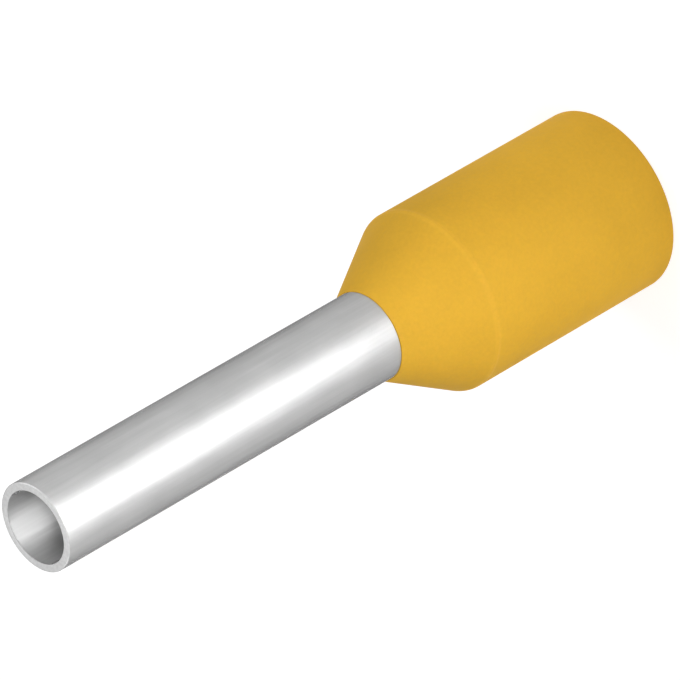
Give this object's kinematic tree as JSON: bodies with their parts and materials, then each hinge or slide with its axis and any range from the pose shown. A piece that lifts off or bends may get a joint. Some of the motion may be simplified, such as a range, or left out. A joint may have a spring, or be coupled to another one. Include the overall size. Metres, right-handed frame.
{
  "type": "wire ferrule",
  "caption": "Insulated wire ferrule: a thin metal sleeve, belled at its inner end, seated in a plastic collar with a conical nose, for crimping on a stranded wire.",
  "frame": {"origin": "centre of the flat ring at the collar's open end, which the part stands on", "axes": "+Z along the axis of the part, from the collar's open end to the sleeve's mouth; the part is turned about Z, so X and Y are alike"},
  "size_m": [0.0036, 0.0034, 0.014],
  "materials": {
    "tinned_copper": "satin tin plating",
    "yellow_plastic": "satin"
  },
  "bodies": {
    "root": {"copper_sleeve": "tinned_copper", "plastic_collar": "yellow_plastic"}
  },
  "joints": []
}
